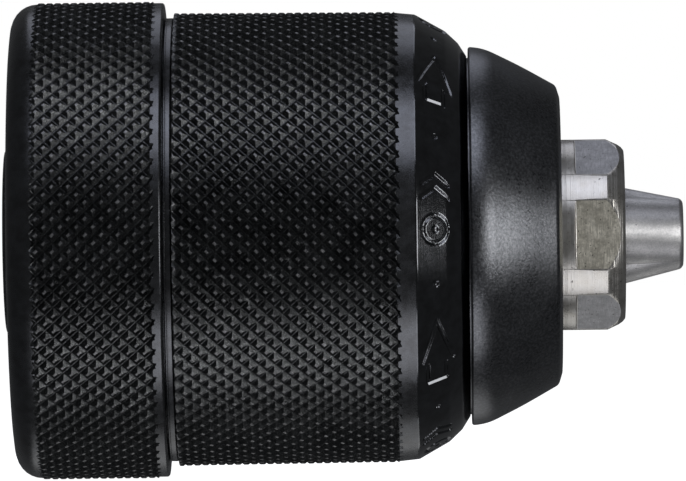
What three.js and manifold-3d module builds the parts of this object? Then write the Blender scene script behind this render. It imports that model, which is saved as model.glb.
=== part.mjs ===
// A keyless drill chuck of 13 mm capacity with two knurled sleeves, in millimetres.
// +X runs along the chuck's axis towards the jaws, and +Z is up. The origin is the centre of the
// rear face that seats on the spindle. The jaws are closed. Turning the front sleeve turns the
// split nut inside it, whose tapered thread drives three inclined jaws along their bores.
import * as THREE from "three";
import { mergeVertices } from "three/addons/utils/BufferGeometryUtils.js";
import Module from "manifold-3d";

const wasm = await Module();
wasm.setup();

// ---- driving dimensions ----

const SIDES = 36; // sides of a large round surface
const SMALL_SIDES = 16; // sides of a jaw or a jaw bore
const GAP = 0.3; // kept between pieces that touch

const REAR_SLEEVE = { back: 0.91, front: 17, radius: 25.1, corner: 2.5, bore: 22.3, floor: 2.1 };
const GUIDE = { back: 12, front: 22.5, bore: 20.9, spigot: 21.95 };
const GUIDE_RIM = { back: 17.3, front: 17.95, radius: 23.45 };
const FRONT_SLEEVE = { back: 18.25, knurlEnd: 41.48, bandEnd: 43.56, coneEnd: 46.74, front: 48.83 };
const FRONT_RADIUS = { back: 23.5, knurl: 23.85, band: 23.74, cone: 23.53, shoulder: 21.73, front: 19.3 };
const FRONT_BORE = { guide: 22.3, bearing: 20.9, nut: 20.1, flange: 13.4 };
const FRONT_SHOULDER = { x: 47.84, radius: 20.8 }; // where the shoulder's curve is steeper
const FLANGE = { thickness: 2.2, fillet: 1.6 }; // the front sleeve's inner flange
const RELIEF = 0.5; // between a bore's step and the piece beside it
const CAP = { back: 49.13, front: 58.76, radius: 20.03, coneBack: 51.29, coneFront: 58.29 };
const CAP_CONE = { big: 19.62, small: 15.9, face: 15.2 };
const CAP_SKIN = { wall: 1.2, rim: 1.4, chamfer: 0.3 }; // thickness at the front and at the rim
const NOSE = { radius: 10.08, back: 57.3, flatStart: 60.18, chamfer: 63.6, front: 65.48 };
const ACROSS_FLATS = 18.84;

const HUB = { radius: 9.75, length: 3.3 }; // rear boss that passes through the rear sleeve's floor
const CORE = { radius: 12.5 }; // behind the collar, between the retracted jaws
const COLLAR = { back: 23.6, front: 28.6, radius: 20.3 }; // carries the thrust bearing
const NECK = { radius: 13 }; // under the bearing, and again ahead of the nut
const NUT_GROOVE = { back: 34.9, front: 40.5, radius: 11 };
const SPINDLE_HOLE = { radius: 5.7, mouth: 6.7, depth: 17 }; // 1/2"-20 thread, drawn plain
const TOOL_HOLE = { radius: 6.75, bottom: 24, mouthChamfer: 0.5 };
const SCREW_HOLE = { radius: 3.3 }; // joins the spindle hole to the tool hole

const JAW = { angle: Math.PI / 12, radius: 3.65, meet: 71.3, tip: 71.7, back: 32.8, bore: 3.9 };
const JAW_TURNS = [80, 200, 320]; // where each jaw stands around the axis, in degrees from +Z
const THREAD = { pitch: 2, depth: 0.9, top: 1.3, bottom: 0.7, play: 0.2, crestPlay: 0.3 };
const RIDGE_TURNS = 3;
const RIDGE_STEPS = 24; // steps of the nut's thread in one turn
const RIDGE_START = 37.9; // distance of the nut's thread at +Z from the point where the jaws meet
const TEETH_START = 7.6; // distance of the first tooth from the point where the jaws' axes meet

const BEARING = { inner: 15.5, outer: 19.8, pitch: 17.65, ball: 1.35, balls: 16 };
const REAR_RACE = { back: 28.9, front: 30.2 };
const FRONT_RACE = { back: 33.5, front: 34.9 };
const CAGE = { back: 31.2, front: 32.5, inner: 15.7, outer: 19.6, pocket: 1.6 };
const NUT = { back: 35.2, front: 40.2, radius: 18.3 };
const BAND = { back: 35.4, front: 40, inner: 18.6, outer: 19.7, lug: 21.3, lugWidth: 6, lugs: 4 };

// ---- materials ----

const metal = (color, roughness) =>
  new THREE.MeshStandardMaterial({ color, roughness, metalness: 1 });
const BLACKENED = metal(0x24262a, 0.42);
const SATIN_BLACK = metal(0x17181a, 0.5);
const MACHINED = metal(0xa8a9ab, 0.3);
const GROUND = metal(0x7d838b, 0.34);
const BEARING_STEEL = metal(0xb9bbbe, 0.18);
const CAGE_BRASS = metal(0xb08d4a, 0.4);

// ---- shape helpers ----

const X_AXIS = new THREE.Vector3(1, 0, 0);
const Y_AXIS = new THREE.Vector3(0, 1, 0);
const Z_AXIS = new THREE.Vector3(0, 0, 1);

/** A closed geometry as a solid that can be joined and cut. */
function toSolid(geometry) {
  const bare = geometry.clone();
  bare.deleteAttribute("normal");
  bare.deleteAttribute("uv");
  const merged = mergeVertices(bare, 1e-4);
  return new wasm.Manifold(
    new wasm.Mesh({
      numProp: 3,
      vertProperties: merged.attributes.position.array,
      triVerts: Uint32Array.from(merged.index.array),
    }),
  );
}

/** A solid as a three.js geometry. */
function toGeometry(solid) {
  const { vertProperties, triVerts } = solid.getMesh();
  const geometry = new THREE.BufferGeometry();
  geometry.setAttribute("position", new THREE.BufferAttribute(vertProperties, 3));
  geometry.setIndex(new THREE.BufferAttribute(triVerts, 1));
  geometry.computeVertexNormals();
  return geometry;
}

/** A ring or shaft about X. The [x, r] points run forward outside and back inside. */
function turned(outline, sides = SIDES) {
  const points = [...outline, outline[0]].map(([x, r]) => new THREE.Vector2(r, x));
  return new THREE.LatheGeometry(points, sides).rotateZ(-Math.PI / 2);
}

/** A plain ring about X. */
function ring(back, front, inner, outer, sides = SIDES) {
  return turned([[back, inner], [back, outer], [front, outer], [front, inner]], sides);
}

/** A prism whose outline lies in the plane of `across` and `up`, pushed along `along`. */
function prism(outline, depth, across, up, along) {
  const shape = new THREE.Shape(outline.map(([a, b]) => new THREE.Vector2(a, b)));
  const geometry = new THREE.ExtrudeGeometry(shape, { depth, bevelEnabled: false });
  return geometry.applyMatrix4(new THREE.Matrix4().makeBasis(across, up, along));
}

/** Points of a quarter round from [x, r] = (back, radius - size) to (back + size, radius). */
function corner(back, radius, size, steps = 4) {
  return Array.from({ length: steps + 1 }, (_, i) => {
    const turn = (i / steps) * (Math.PI / 2);
    return [back + size * (1 - Math.cos(turn)), radius - size * (1 - Math.sin(turn))];
  });
}

/** A named mesh. */
function piece(name, geometry, material) {
  const mesh = new THREE.Mesh(geometry, material);
  mesh.name = name;
  return mesh;
}

// ---- the jaws' inclined frame ----
// For a jaw that stands at +Z: `back` runs from the meeting point along the jaw's axis, and
// `out` is square to it, away from the chuck's axis.

const JAW_BACK = new THREE.Vector3(-Math.cos(JAW.angle), 0, Math.sin(JAW.angle));
const JAW_OUT = new THREE.Vector3(Math.sin(JAW.angle), 0, Math.cos(JAW.angle));

/** The [x, r] place of a point that lies `back` along a jaw's axis and `out` from it. */
function jawPlace(back, out) {
  return [
    JAW.meet + back * JAW_BACK.x + out * JAW_OUT.x,
    back * JAW_BACK.z + out * JAW_OUT.z,
  ];
}

/** A cylinder along the axis of the jaw at +Z, from `start` to `end` behind the meeting point. */
function jawCylinder(radius, start, end) {
  const cylinder = new THREE.CylinderGeometry(radius, radius, end - start, SMALL_SIDES);
  const middle = new THREE.Vector3(JAW.meet, 0, 0).addScaledVector(JAW_BACK, (start + end) / 2);
  cylinder.applyMatrix4(new THREE.Matrix4().makeBasis(JAW_OUT, JAW_BACK, Y_AXIS.clone().negate()));
  return cylinder.translate(middle.x, middle.y, middle.z);
}

const jawEnd = (JAW.meet - JAW.back) / Math.cos(JAW.angle);

// ---- body and fixed pieces ----

function bodyOutline() {
  const tipRadius = NOSE.radius - 1.2;
  return [
    [0, SPINDLE_HOLE.mouth],
    [0, HUB.radius - 0.3],
    [0.3, HUB.radius],
    [HUB.length, HUB.radius],
    [HUB.length, CORE.radius],
    [COLLAR.back, CORE.radius],
    [COLLAR.back, COLLAR.radius],
    [COLLAR.front, COLLAR.radius],
    [COLLAR.front, BEARING.inner - 0.5],
    [REAR_RACE.front, BEARING.inner - 0.5],
    [REAR_RACE.front, NECK.radius],
    [NUT_GROOVE.back, NECK.radius],
    [NUT_GROOVE.back, NUT_GROOVE.radius],
    [NUT_GROOVE.front, NUT_GROOVE.radius],
    [NUT_GROOVE.front, NECK.radius],
    [NOSE.back, NECK.radius],
    [NOSE.back, NOSE.radius],
    [NOSE.chamfer, NOSE.radius],
    [NOSE.front - 0.6, NOSE.radius - 0.6],
    [NOSE.front, tipRadius],
    [NOSE.front, TOOL_HOLE.radius + TOOL_HOLE.mouthChamfer],
    [NOSE.front - TOOL_HOLE.mouthChamfer, TOOL_HOLE.radius],
    [TOOL_HOLE.bottom, TOOL_HOLE.radius],
    [TOOL_HOLE.bottom, SCREW_HOLE.radius],
    [SPINDLE_HOLE.depth, SCREW_HOLE.radius],
    [SPINDLE_HOLE.depth, SPINDLE_HOLE.radius],
    [1, SPINDLE_HOLE.radius],
  ];
}

/** What lies outside the wrench hexagon, ahead of where its flats start. */
function hexagonCutter() {
  const length = NOSE.front - NOSE.flatStart + 2;
  const cornerRadius = ACROSS_FLATS / Math.sqrt(3);
  const hexagon = new THREE.CylinderGeometry(cornerRadius, cornerRadius, length + 2, 6);
  hexagon.rotateZ(-Math.PI / 2).translate(NOSE.flatStart + length / 2, 0, 0);
  const sheath = ring(NOSE.flatStart, NOSE.flatStart + length, 0.5, NOSE.radius + 3);
  return toSolid(sheath).subtract(toSolid(hexagon));
}

function chuckBody() {
  let solid = toSolid(turned(bodyOutline()));
  const bore = jawCylinder(JAW.bore, -10, (JAW.meet - 5) / Math.cos(JAW.angle));
  for (const turn of JAW_TURNS) {
    const turnedBore = bore.clone().rotateX(THREE.MathUtils.degToRad(turn));
    solid = solid.subtract(toSolid(turnedBore));
  }
  solid = solid.subtract(hexagonCutter());
  return piece("chuck_body", toGeometry(solid), MACHINED);
}

function rearSleeve() {
  const hole = HUB.radius + GAP;
  const inside = REAR_SLEEVE.back + REAR_SLEEVE.floor;
  const outline = [
    [REAR_SLEEVE.back, hole],
    ...corner(REAR_SLEEVE.back, REAR_SLEEVE.radius, REAR_SLEEVE.corner),
    [REAR_SLEEVE.front - 0.3, REAR_SLEEVE.radius],
    [REAR_SLEEVE.front, REAR_SLEEVE.radius - 0.3],
    [REAR_SLEEVE.front, REAR_SLEEVE.bore],
    [inside, REAR_SLEEVE.bore],
    [inside, hole],
  ];
  return piece("rear_sleeve", turned(outline), BLACKENED);
}

/** The ring whose rim shows between the sleeves and whose spigots centre one in the other. */
function guideRing() {
  const outline = [
    [GUIDE.back, GUIDE.bore],
    [GUIDE.back, GUIDE.spigot],
    [GUIDE_RIM.back, GUIDE.spigot],
    [GUIDE_RIM.back, GUIDE_RIM.radius],
    [GUIDE_RIM.front, GUIDE_RIM.radius],
    [GUIDE_RIM.front, GUIDE.spigot],
    [GUIDE.front, GUIDE.spigot],
    [GUIDE.front, GUIDE.bore],
  ];
  return piece("guide_ring", turned(outline), BLACKENED);
}

/** A thin-walled cap pressed on the body's neck, which keeps the front sleeve in place. */
function noseCap() {
  const seat = NECK.radius + GAP;
  const hubOuter = seat + CAP_SKIN.wall;
  const outline = [
    [CAP.back, CAP.radius - CAP_SKIN.rim],
    [CAP.back, CAP.radius - CAP_SKIN.chamfer],
    [CAP.back + CAP_SKIN.chamfer, CAP.radius],
    [CAP.back + 1, CAP.radius - 0.05],
    [CAP.coneBack, CAP_CONE.big],
    [CAP.coneFront, CAP_CONE.small],
    [CAP.front, CAP_CONE.face],
    [CAP.front, NOSE.radius + GAP],
    [CAP.front - CAP_SKIN.wall, NOSE.radius + GAP],
    [CAP.front - CAP_SKIN.wall, seat],
    [CAP.back + RELIEF, seat],
    [CAP.back + RELIEF, hubOuter],
    [CAP.coneFront - 1.8, hubOuter],
    [CAP.coneFront - 1.5, hubOuter + 0.6],
    [CAP.coneBack, CAP_CONE.big - CAP_SKIN.rim],
  ];
  return piece("nose_cap", turned(outline), SATIN_BLACK);
}

// ---- front sleeve, nut and bearing ----

/** A bar that points out from the axis, as wide as `width`, at `turn` radians around X. */
function radialBar(back, front, inner, outer, width, turn) {
  const bar = new THREE.BoxGeometry(front - back, width, outer - inner);
  bar.translate((back + front) / 2, 0, (inner + outer) / 2);
  return bar.rotateX(turn);
}

/** Turns of the nut band's lugs around the axis. */
const lugTurns = Array.from({ length: BAND.lugs }, (_, i) => (i * 2 * Math.PI) / BAND.lugs);

function frontSleeve() {
  const flangeBack = FRONT_SLEEVE.front - FLANGE.thickness;
  const outline = [
    [FRONT_SLEEVE.back, FRONT_BORE.guide],
    [FRONT_SLEEVE.back, FRONT_RADIUS.back - 0.3],
    [FRONT_SLEEVE.back + 0.4, FRONT_RADIUS.knurl],
    [FRONT_SLEEVE.knurlEnd, FRONT_RADIUS.band],
    [FRONT_SLEEVE.bandEnd, FRONT_RADIUS.cone],
    [FRONT_SLEEVE.coneEnd, FRONT_RADIUS.shoulder],
    [FRONT_SHOULDER.x, FRONT_SHOULDER.radius],
    [FRONT_SLEEVE.front, FRONT_RADIUS.front],
    [FRONT_SLEEVE.front, FRONT_BORE.flange],
    [flangeBack, FRONT_BORE.flange],
    [flangeBack, FRONT_BORE.nut - FLANGE.fillet],
    [flangeBack - FLANGE.fillet, FRONT_BORE.nut],
    [FRONT_RACE.back - RELIEF, FRONT_BORE.nut],
    [FRONT_RACE.back - RELIEF, FRONT_BORE.bearing],
    [GUIDE.front + RELIEF, FRONT_BORE.bearing],
    [GUIDE.front + RELIEF, FRONT_BORE.guide],
  ];
  let solid = toSolid(turned(outline));
  const { back, front, inner, lug, lugWidth } = BAND;
  for (const turn of lugTurns) {
    const slot = radialBar(back - GAP, front + 0.8, inner, lug + GAP, lugWidth + 2 * GAP, turn);
    solid = solid.subtract(toSolid(slot));
  }
  return piece("front_sleeve", toGeometry(solid), BLACKENED);
}

/** The band that holds the nut's halves together; its lugs take the drive from the sleeve. */
function nutBand() {
  let solid = toSolid(ring(BAND.back, BAND.front, BAND.inner, BAND.outer));
  for (const turn of lugTurns) {
    const lug = radialBar(BAND.back, BAND.front, BAND.outer - 0.6, BAND.lug, BAND.lugWidth, turn);
    solid = solid.add(toSolid(lug));
  }
  return piece("nut_band", toGeometry(solid), GROUND);
}

/**
 * The nut's thread: a ridge wound on a cone that runs parallel to the jaws' backs. Its place
 * moves forward by one pitch for each turn about +X, which makes it right-handed.
 */
function threadRidge(firstBack, turns, stepsPerTurn) {
  const slope = (THREAD.top - THREAD.bottom) / 2 / THREAD.depth;
  const crest = JAW.radius - THREAD.depth + THREAD.crestPlay;
  const root = JAW.radius + 0.6;
  const halfWidth = (out) =>
    THREAD.top / 2 - THREAD.play + (out - JAW.radius) * slope;
  const section = [
    [-halfWidth(crest), crest],
    [halfWidth(crest), crest],
    [halfWidth(root), root],
    [-halfWidth(root), root],
  ];
  const steps = Math.round(turns * stepsPerTurn);
  const places = [];
  for (let step = 0; step <= steps; step++) {
    const turn = (step / stepsPerTurn) * 2 * Math.PI;
    const middle = firstBack - (THREAD.pitch * step) / stepsPerTurn;
    for (const [back, out] of section) {
      const [x, r] = jawPlace(middle + back, out);
      places.push(x, -r * Math.sin(turn), r * Math.cos(turn));
    }
  }
  const faces = [0, 1, 2, 0, 2, 3];
  for (let step = 0; step < steps; step++) {
    for (let side = 0; side < 4; side++) {
      const a = step * 4 + side;
      const b = step * 4 + ((side + 1) % 4);
      faces.push(a, a + 4, b, b, a + 4, b + 4);
    }
  }
  const last = steps * 4;
  faces.push(last, last + 2, last + 1, last, last + 3, last + 2);
  const geometry = new THREE.BufferGeometry();
  geometry.setAttribute("position", new THREE.Float32BufferAttribute(places, 3));
  geometry.setIndex(faces);
  return geometry;
}

function nutHalf(name, side) {
  const [, backBore] = nutBore(NUT.back);
  const [, frontBore] = nutBore(NUT.front);
  const outline = [
    [NUT.back, backBore],
    [NUT.back, NUT.radius],
    [NUT.front, NUT.radius],
    [NUT.front, frontBore],
  ];
  const reach = NUT.radius + 1;
  const width = NUT.front - NUT.back;
  const half = new THREE.BoxGeometry(width, 2 * reach, reach);
  half.translate((NUT.back + NUT.front) / 2, 0, side * (reach / 2 + GAP / 2));
  const ridge = toSolid(threadRidge(RIDGE_START, RIDGE_TURNS, RIDGE_STEPS));
  const solid = toSolid(turned(outline)).add(ridge).intersect(toSolid(half));
  return piece(name, toGeometry(solid), GROUND);
}

/** The [x, r] place of the nut's plain bore at `x`, clear of the jaws' backs. */
function nutBore(x) {
  const out = JAW.radius + GAP;
  const back = (JAW.meet + out * JAW_OUT.x - x) / Math.cos(JAW.angle);
  return jawPlace(back, out);
}

function race(name, { back, front }) {
  return piece(name, ring(back, front, BEARING.inner, BEARING.outer), BEARING_STEEL);
}

/** The turn of each ball around the axis. */
const ballTurns = Array.from({ length: BEARING.balls }, (_, i) => (i * 2 * Math.PI) / BEARING.balls);

const bearingMiddle = (REAR_RACE.front + FRONT_RACE.back) / 2;

function ballCage() {
  let solid = toSolid(ring(CAGE.back, CAGE.front, CAGE.inner, CAGE.outer, 2 * BEARING.balls));
  for (const turn of ballTurns) {
    const pocket = new THREE.CylinderGeometry(CAGE.pocket, CAGE.pocket, CAGE.front - CAGE.back + 2, 10);
    pocket.rotateZ(-Math.PI / 2);
    pocket.translate(bearingMiddle, 0, BEARING.pitch);
    solid = solid.subtract(toSolid(pocket.rotateX(turn)));
  }
  return piece("ball_cage", toGeometry(solid), CAGE_BRASS);
}

function balls() {
  const shape = new THREE.IcosahedronGeometry(BEARING.ball, 1);
  return ballTurns.map((turn, i) => {
    const ball = piece("ball_" + String(i + 1).padStart(2, "0"), shape, BEARING_STEEL);
    ball.position.set(bearingMiddle, -BEARING.pitch * Math.sin(turn), BEARING.pitch * Math.cos(turn));
    return ball;
  });
}

// ---- jaws ----

/** The wedge of a third of a turn that a jaw fills at the axis, up to the plane of the tips. */
function jawWedge() {
  const apex = GAP / 2 / Math.cos(Math.PI / 6);
  const reach = 30;
  const side = reach * Math.tan(Math.PI / 3);
  const outline = [[0, apex], [side, apex + reach], [-side, apex + reach]];
  return prism(outline, JAW.tip, Y_AXIS, Z_AXIS, X_AXIS);
}

/** The comb that cuts a jaw's teeth, for a jaw that stands `turn` radians from +Z. */
function toothCutter(turn) {
  const { pitch, depth, top, bottom } = THREAD;
  const floor = JAW.radius - depth;
  const mouth = JAW.radius + 0.1;
  const above = JAW.radius + 1;
  const flank = (top - bottom) / 2 / depth;
  const halfAt = (out) => top / 2 + (out - JAW.radius) * flank;
  let back = RIDGE_START - (pitch * turn) / (2 * Math.PI);
  while (back + pitch < jawEnd) {
    back += pitch;
  }
  const outline = [];
  for (; back > TEETH_START; back -= pitch) {
    outline.unshift(
      [back - halfAt(mouth), mouth],
      [back - halfAt(floor), floor],
      [back + halfAt(floor), floor],
      [back + halfAt(mouth), mouth],
    );
  }
  const [lowBack] = outline[0];
  const [highBack] = outline[outline.length - 1];
  outline.push([highBack, above], [lowBack, above]);
  const width = 2 * JAW.radius;
  const comb = prism(outline, width, JAW_BACK, JAW_OUT, Y_AXIS);
  return comb.translate(JAW.meet, -width / 2, 0);
}

function jaw(number, degrees) {
  const turn = THREE.MathUtils.degToRad(degrees);
  const blank = toSolid(jawCylinder(JAW.radius, -3, jawEnd));
  const solid = blank.intersect(toSolid(jawWedge())).subtract(toSolid(toothCutter(turn)));
  const mesh = piece("jaw_" + number, toGeometry(solid), GROUND);
  mesh.rotation.x = turn;
  return mesh;
}

// ---- assembly ----

const fixedPieces = new THREE.Group();
fixedPieces.add(chuckBody(), rearSleeve(), guideRing(), noseCap(), race("rear_race", REAR_RACE));

const turningPieces = new THREE.Group();
turningPieces.add(
  frontSleeve(),
  nutBand(),
  nutHalf("nut_half_1", 1),
  nutHalf("nut_half_2", -1),
  race("front_race", FRONT_RACE),
);

const bearing = new THREE.Group();
bearing.add(ballCage(), ...balls());

const jaws = new THREE.Group();
JAW_TURNS.forEach((degrees, i) => jaws.add(jaw(i + 1, degrees)));

const drillChuck = new THREE.Group();
drillChuck.add(fixedPieces, turningPieces, bearing, jaws);

export default drillChuck;
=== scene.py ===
"""The looks of the keyless drill chuck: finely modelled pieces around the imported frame."""

import math
import random

import bmesh
import bpy
import numpy as np
from mathutils import Matrix, Vector


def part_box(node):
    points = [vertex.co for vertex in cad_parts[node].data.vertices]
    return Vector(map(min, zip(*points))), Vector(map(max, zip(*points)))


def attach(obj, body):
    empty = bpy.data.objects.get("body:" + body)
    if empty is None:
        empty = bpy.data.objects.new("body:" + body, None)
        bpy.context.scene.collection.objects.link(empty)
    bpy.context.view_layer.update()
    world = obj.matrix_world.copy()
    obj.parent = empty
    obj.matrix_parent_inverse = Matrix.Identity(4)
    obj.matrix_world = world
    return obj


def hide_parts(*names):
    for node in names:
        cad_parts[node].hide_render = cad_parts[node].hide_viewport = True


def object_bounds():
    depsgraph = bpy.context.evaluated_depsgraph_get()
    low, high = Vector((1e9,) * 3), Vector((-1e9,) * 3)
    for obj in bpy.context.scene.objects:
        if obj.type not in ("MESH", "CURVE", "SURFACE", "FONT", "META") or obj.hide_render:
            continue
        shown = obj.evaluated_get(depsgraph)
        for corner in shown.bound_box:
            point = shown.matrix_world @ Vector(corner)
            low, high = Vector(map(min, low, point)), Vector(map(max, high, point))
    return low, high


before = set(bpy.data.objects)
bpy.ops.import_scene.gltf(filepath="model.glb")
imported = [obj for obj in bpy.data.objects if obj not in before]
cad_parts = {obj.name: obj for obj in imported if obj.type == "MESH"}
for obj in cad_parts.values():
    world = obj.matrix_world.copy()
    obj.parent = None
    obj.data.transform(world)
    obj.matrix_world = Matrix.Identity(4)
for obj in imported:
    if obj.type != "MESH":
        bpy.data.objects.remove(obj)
cad_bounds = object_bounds()

# Lengths in this script are millimetres until a mesh is made. Stations are measured along the
# chuck's axis, +X, from its rear face. Turns are measured about +X, in radians, from +Z.

MM = 0.001
FULL_TURN = 2 * math.pi
TOWARDS_CAMERA = math.pi / 2
REAL_EDGE = math.radians(32)  # shading breaks where two faces differ by more

# ---- sizes taken from the frame ----


def stations(node):
    """The rear and front stations of a CAD node."""
    low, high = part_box(node)
    return low.x / MM, high.x / MM


BODY_FRONT = stations("chuck_body")[1]
JAW_TIP = stations("jaw_1")[1]
SLEEVE_BACK = stations("rear_sleeve")[0]
CAP_BACK, CAP_FRONT = stations("nose_cap")
NUT_BACK, NUT_FRONT = stations("nut_half_1")
GUIDE_BACK, GUIDE_FRONT = stations("guide_ring")
BALLS = sorted(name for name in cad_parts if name.startswith("ball_") and name != "ball_cage")
JAWS = {"jaw_1": 80, "jaw_2": 200, "jaw_3": 320}

# ---- sizes of the details ----

DEEP_GROOVE = 0.49
SHALLOW_GROOVE = 0.42  # grooves that cross the deep ones
GROOVE_FLOOR = 0.045  # half width
GROOVE_SPREAD = 0.02  # how much the grooves differ in depth
TOP_SPREAD = 0.03  # how much the diamonds' tops differ in height
RUN_OUT = 0.62  # how far past a grip's end its grooves rise out of the metal
RUN_OUT_SLOPE = 0.8  # how steeply they rise
GRIP_LEAD = 0.12  # length of the slope from the band up to the grip
CLEAR = 0.01  # between the grip's highest tops and the outline that the sleeve is cut to
REAR_KNURL = {
    "start": 3.7, "end": 16.0, "radius": 25.23, "taper": 0, "around": 93, "step": 0.8545,
    "first": (3.241, math.radians(90.6)), "way": -1,
}
FRONT_KNURL = {
    "start": 18.3, "end": 41.48, "radius": 23.98, "taper": -0.14, "around": 88, "step": 0.859,
    "first": (18.32, math.radians(89.145)), "way": 1,
}
BAND_RADIUS = 25.08  # of the rear sleeve outside its knurl
HUB_HOLE = 10.05  # in the rear sleeve's floor
BORE_OVER_SPIGOT = 22.3  # of both sleeves, around the guide ring
BORE_OVER_BEARING = 20.9  # of the front sleeve and the guide ring
BORE_OVER_NUT = 20.1  # of the front sleeve
FLANGE_BORE = 13.4  # of the front sleeve's flange
COLLAR_START = 43.4  # where the marked collar takes over from the grip
CONE_START = 43.56
GRIP_END_RADIUS = 23.74  # of the plain band ahead of the front grip
CONE_RADIUS = 23.53
MARK_DEPTH = 0.17
MARK_HALF_WIDTH = 0.2
MARK_EDGE = 0.07  # half the width of a stroke's sloping side
MARK_SLOTS = 9
MARK_RADIUS = 22.6  # of the cone, where marks are measured around it
FIRST_MARK = math.radians(7.5)  # above the direction of the camera
ARROW_EVERY = 2

JAW_ANGLE = math.radians(15)
JAW_RADIUS = 3.65
JAW_MEET = 71.3  # where the three jaws' axes meet
JAW_BACK = 32.8
JAW_BORE = 3.85
JAW_GAP = 0.03  # between two closed jaws
JAW_EDGE = 0.13
JAW_EASE = 0.4  # bevel of the rear edge
JAW_TIP_ROUNDING = 0.5
TOOTH_PITCH = 2.0
TOOTH_DEPTH = 0.9
TOOTH_TOP = 1.3
TOOTH_BOTTOM = 0.7
TEETH_START = 7.6  # this and the next are measured back along a jaw from where they meet
RIDGE_START = 37.9
THREAD_PLAY = 0.26  # at each flank of the nut's thread
CREST_PLAY = 0.36
THREAD_STEPS = 72  # in each turn of a thread
ACROSS_FLATS = 18.84
FLAT_START = 60.18
FLAT_FILLET = 0.18
HUB_RADIUS = 9.75

# ---- outlines ----


def rounded(corners, steps=5):
    """The outline through (x, r, rounding) corners, with an arc of that radius at each."""
    count = len(corners)
    places = [Vector(corner[:2]) for corner in corners]
    wanted = []
    for i, (here, corner) in enumerate(zip(places, corners)):
        sides = places[i - 1] - here, places[(i + 1) % count] - here
        wanted.append(corner[2] / math.tan(sides[0].angle(sides[1]) / 2) if corner[2] else 0)
    outline = []
    for i, here in enumerate(places):
        if wanted[i] == 0:
            outline.append(tuple(here))
            continue
        reach = wanted[i]
        for j in (i - 1, (i + 1) % count):
            share = wanted[i] / (wanted[i] + wanted[j])
            reach = min(reach, 0.98 * share * (places[j] - here).length)
        outline += corner_arc(here, places[i - 1], places[(i + 1) % count], reach, steps)
    return outline


def corner_arc(here, before, after, reach, steps):
    """Points of the arc that rounds the corner at `here` from `reach` before it to as far after."""
    back, ahead = (before - here).normalized(), (after - here).normalized()
    half = back.angle(ahead) / 2
    middle = here + (back + ahead).normalized() * reach / math.cos(half)
    start, end = here + back * reach - middle, here + ahead * reach - middle
    sweep = start.angle_signed(end)
    points = []
    for step in range(steps + 1):
        arm = start.copy()
        arm.rotate(Matrix.Rotation(-sweep * step / steps, 2))
        points.append(tuple(middle + arm))
    return points


# ---- meshes ----


def around(x, r, turns):
    """Points at station x and radius r, at each of the turns."""
    turns = np.asarray(turns)
    x, r = np.broadcast_to(x, turns.shape), np.broadcast_to(r, turns.shape)
    return np.column_stack([x, -r * np.sin(turns), r * np.cos(turns)])


def strip_faces(first, second):
    """Quads between two rings of as many vertices, facing out when the second is ahead."""
    return list(zip(first, first[1:] + first[:1], second[1:] + second[:1], second))


def ring_numbers(count, sides, first=0):
    """The vertex numbers of several rings, of which the first starts at vertex `first`."""
    return (np.arange(count * sides).reshape(count, sides) + first).tolist()


def skin(rings):
    """The faces over a row of rings."""
    faces = []
    for ring, following in zip(rings, rings[1:]):
        faces += strip_faces(ring, following)
    return faces


def even_turns(sides):
    return np.arange(sides) * FULL_TURN / sides


def looped(rows):
    """Points and faces of a skin over rings of points, of which the last joins the first."""
    rings = ring_numbers(len(rows), len(rows[0]))
    return np.vstack(rows), skin([*rings, rings[0]])


def turned(outline, sides=192):
    """A closed ring about X. The outline runs forward outside and back inside."""
    return looped([around(x, r, even_turns(sides)) for x, r in outline])


def lathed(corners, steps, sides=192):
    """A ring about X through (x, r, rounding) corners."""
    return turned(rounded(corners, steps), sides)


def capped(rows):
    """Points and faces of a skin over rings of points, with flat ends."""
    rings = ring_numbers(len(rows), len(rows[0]))
    return np.vstack(rows), [*skin(rings), tuple(rings[0][::-1]), tuple(rings[-1])]


def shade(mesh):
    """Smooth shading, but sharp where faces meet at a real edge."""
    mesh.polygons.foreach_set("use_smooth", [True] * len(mesh.polygons))
    mesh.set_sharp_from_angle(angle=REAL_EDGE)


def add_shape(name, shape):
    """A new object from (points, faces) in millimetres."""
    points, faces = shape
    mesh = bpy.data.meshes.new(name)
    mesh.from_pydata((np.asarray(points) * MM).tolist(), [], faces)
    shade(mesh)
    piece = bpy.data.objects.new(name, mesh)
    bpy.context.scene.collection.objects.link(piece)
    return piece


def place(piece, body, slot, node, material):
    """Gives a piece its material and its body, and hides the CAD node that it stands for; its slot is
    not used.
    """
    piece.data.materials.clear()
    piece.data.materials.append(material)
    even = piece.modifiers.new("even_normals", "WEIGHTED_NORMAL")
    even.keep_sharp = True
    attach(piece, body)
    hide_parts(node)


def add_piece(name, shape, *placing):
    place(add_shape(name, shape), *placing)


def combine(piece, shape, operation, solver="EXACT"):
    """Joins the shape to the piece or cuts it away, and keeps the result as the piece's mesh."""
    cutter = add_shape("cutter", shape)
    change = piece.modifiers.new("combine", "BOOLEAN")
    change.operation = operation
    change.solver = solver
    change.object = cutter
    bpy.context.view_layer.update()
    evaluated = piece.evaluated_get(bpy.context.evaluated_depsgraph_get())
    mesh = bpy.data.meshes.new_from_object(evaluated)
    piece.modifiers.clear()
    old, piece.data = piece.data, mesh
    bpy.data.meshes.remove(old)
    bpy.data.objects.remove(cutter)
    shade(piece.data)


XYZ = ((1, 0, 0), (0, 1, 0), (0, 0, 1))
YZX = ((0, 1, 0), (0, 0, 1), (1, 0, 0))


def prism(outline, axes, origin, depth):
    """A prism: the outline in the plane of the first two axes, pushed along the third."""
    across, up, along = (Vector(axis) for axis in axes)
    origin = Vector(origin)
    flat = [origin + across * a + up * b for a, b in outline]
    points = [tuple(p) for p in flat] + [tuple(p + along * depth) for p in flat]
    count = len(outline)
    faces = [tuple(range(count))[::-1], tuple(range(count, 2 * count))]
    faces += [(i, (i + 1) % count, count + (i + 1) % count, count + i) for i in range(count)]
    return points, faces


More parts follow.
